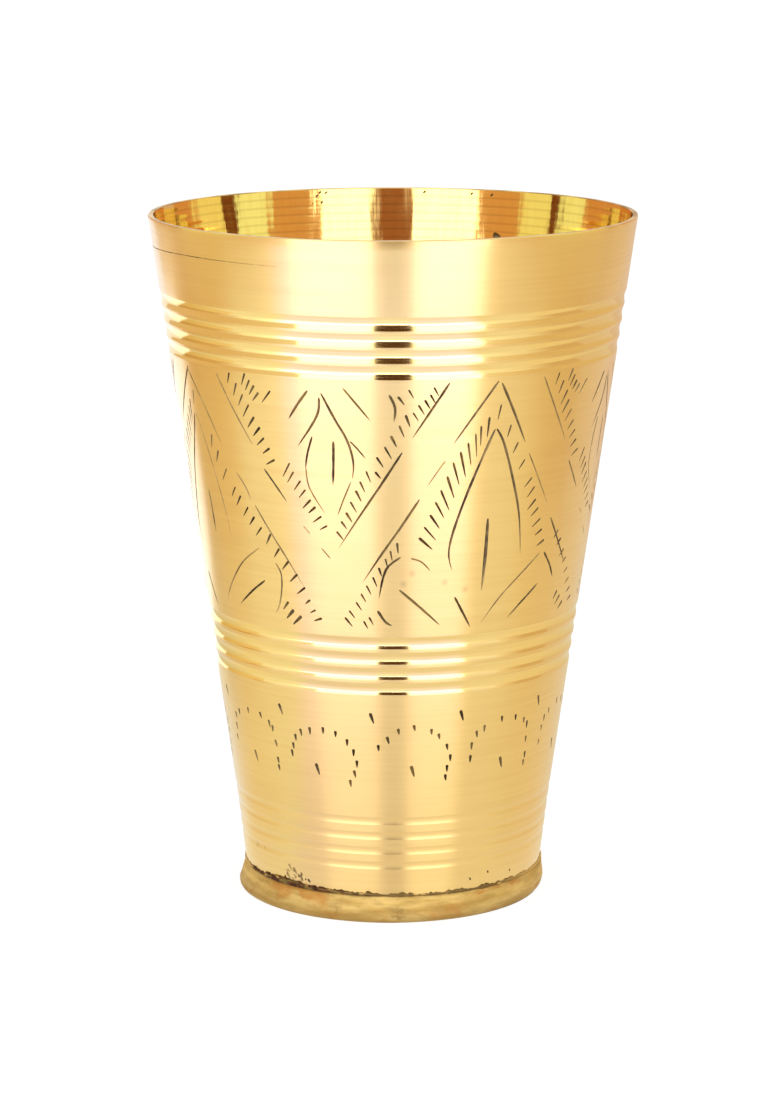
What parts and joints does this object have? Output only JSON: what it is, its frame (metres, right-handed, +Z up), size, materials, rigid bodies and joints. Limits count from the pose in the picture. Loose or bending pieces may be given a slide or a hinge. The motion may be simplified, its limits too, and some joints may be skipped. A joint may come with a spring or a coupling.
{
  "type": "brass tumbler",
  "caption": "Flared brass drinking tumbler with bands of turned flutes and hand-engraved zigzag and leaf borders, its wall hard-soldered onto a thick foot disc.",
  "frame": {"origin": "on the wall's axis, at the level of the standing face", "axes": "+Z up along the wall's axis to the rim, -Y towards the viewer of the picture, +X to that viewer's right"},
  "size_m": [0.099, 0.099, 0.14],
  "materials": {
    "wall_brass": "turned and brushed round, polished inside",
    "foot_brass": "filed and scoured, dull",
    "hard_solder": "oxidised dark brown, rough"
  },
  "bodies": {
    "root": {"wall": "wall_brass", "foot": "foot_brass", "solder_seam": "hard_solder"}
  },
  "joints": []
}
